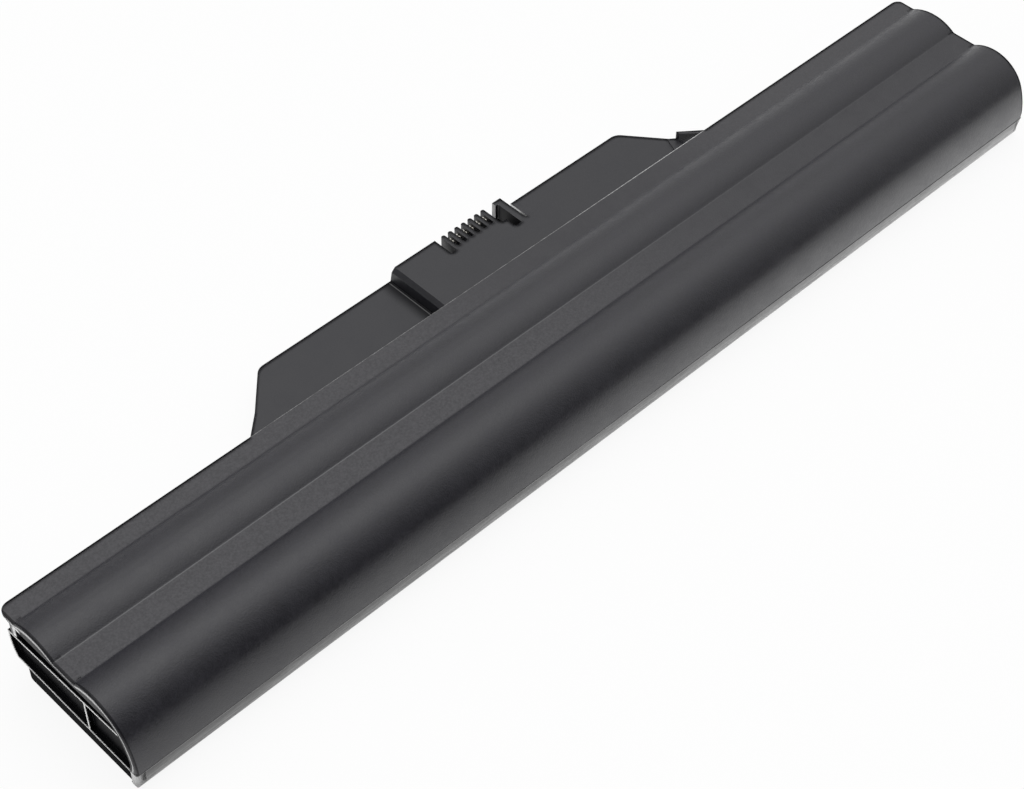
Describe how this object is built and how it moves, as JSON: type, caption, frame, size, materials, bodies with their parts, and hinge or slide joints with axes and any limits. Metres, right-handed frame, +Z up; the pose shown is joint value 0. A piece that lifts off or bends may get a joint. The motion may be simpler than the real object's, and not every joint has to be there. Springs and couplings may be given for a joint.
{
  "type": "laptop battery",
  "caption": "Long black laptop battery with two rows of round cells showing as humps, a flat strip behind them and a low tongue with a slotted connector on its back edge.",
  "frame": {"origin": "middle of the footprint, tongue included, on the flat underside", "axes": "+X along the pack, +Y back towards the tongue and its connector, +Z up from the flat underside to the humps"},
  "size_m": [0.268, 0.0632, 0.0201],
  "materials": {
    "cover_plastic": "black plastic with a fine grain, satin on the humps",
    "housing_plastic": "black plastic, smooth satin",
    "tongue_plastic": "black plastic with a fine matte grain",
    "connector_plastic": "black moulded connector plastic",
    "contact_metal": "thin gold plating",
    "board_laminate": "green solder resist",
    "chip_resin": "moulded black resin",
    "fuse_ceramic": "unglazed pale ceramic",
    "capacitor_ceramic": "tan ceramic",
    "cell_sleeve": "shrunk sleeve, glossy",
    "strip_nickel": "rolled nickel strip",
    "insulating_paper": "pale insulating paper"
  },
  "bodies": {
    "root": {"board_capacitors": "capacitor_ceramic", "cell_1": "cell_sleeve", "cell_2": "cell_sleeve", "cell_3": "cell_sleeve", "cell_4": "cell_sleeve", "cell_5": "cell_sleeve", "cell_6": "cell_sleeve", "cell_7": "cell_sleeve", "cell_8": "cell_sleeve", "charge_switch": "chip_resin", "chemical_fuse": "fuse_ceramic", "circuit_board": "board_laminate", "connector_body": "connector_plastic", "contact_1": "contact_metal", "contact_2": "contact_metal", "contact_3": "contact_metal", "contact_4": "contact_metal", "contact_5": "contact_metal", "contact_6": "contact_metal", "current_shunt": "strip_nickel", "discharge_switch": "chip_resin", "end_pad_left": "insulating_paper", "end_pad_right": "insulating_paper", "gauge_chip": "chip_resin", "insulator_rings": "insulating_paper", "link_strip_1": "strip_nickel", "link_strip_2": "strip_nickel", "link_strip_3": "strip_nickel", "lower_housing": "housing_plastic", "negative_lead": "strip_nickel", "negative_strip": "strip_nickel", "positive_lead": "strip_nickel", "positive_strip": "strip_nickel", "protection_chip": "chip_resin", "sense_lead_1": "strip_nickel", "sense_lead_2": "strip_nickel", "sense_lead_3": "strip_nickel", "thermistor": "chip_resin", "tongue_cover": "tongue_plastic", "top_cover": "cover_plastic"}
  },
  "joints": []
}
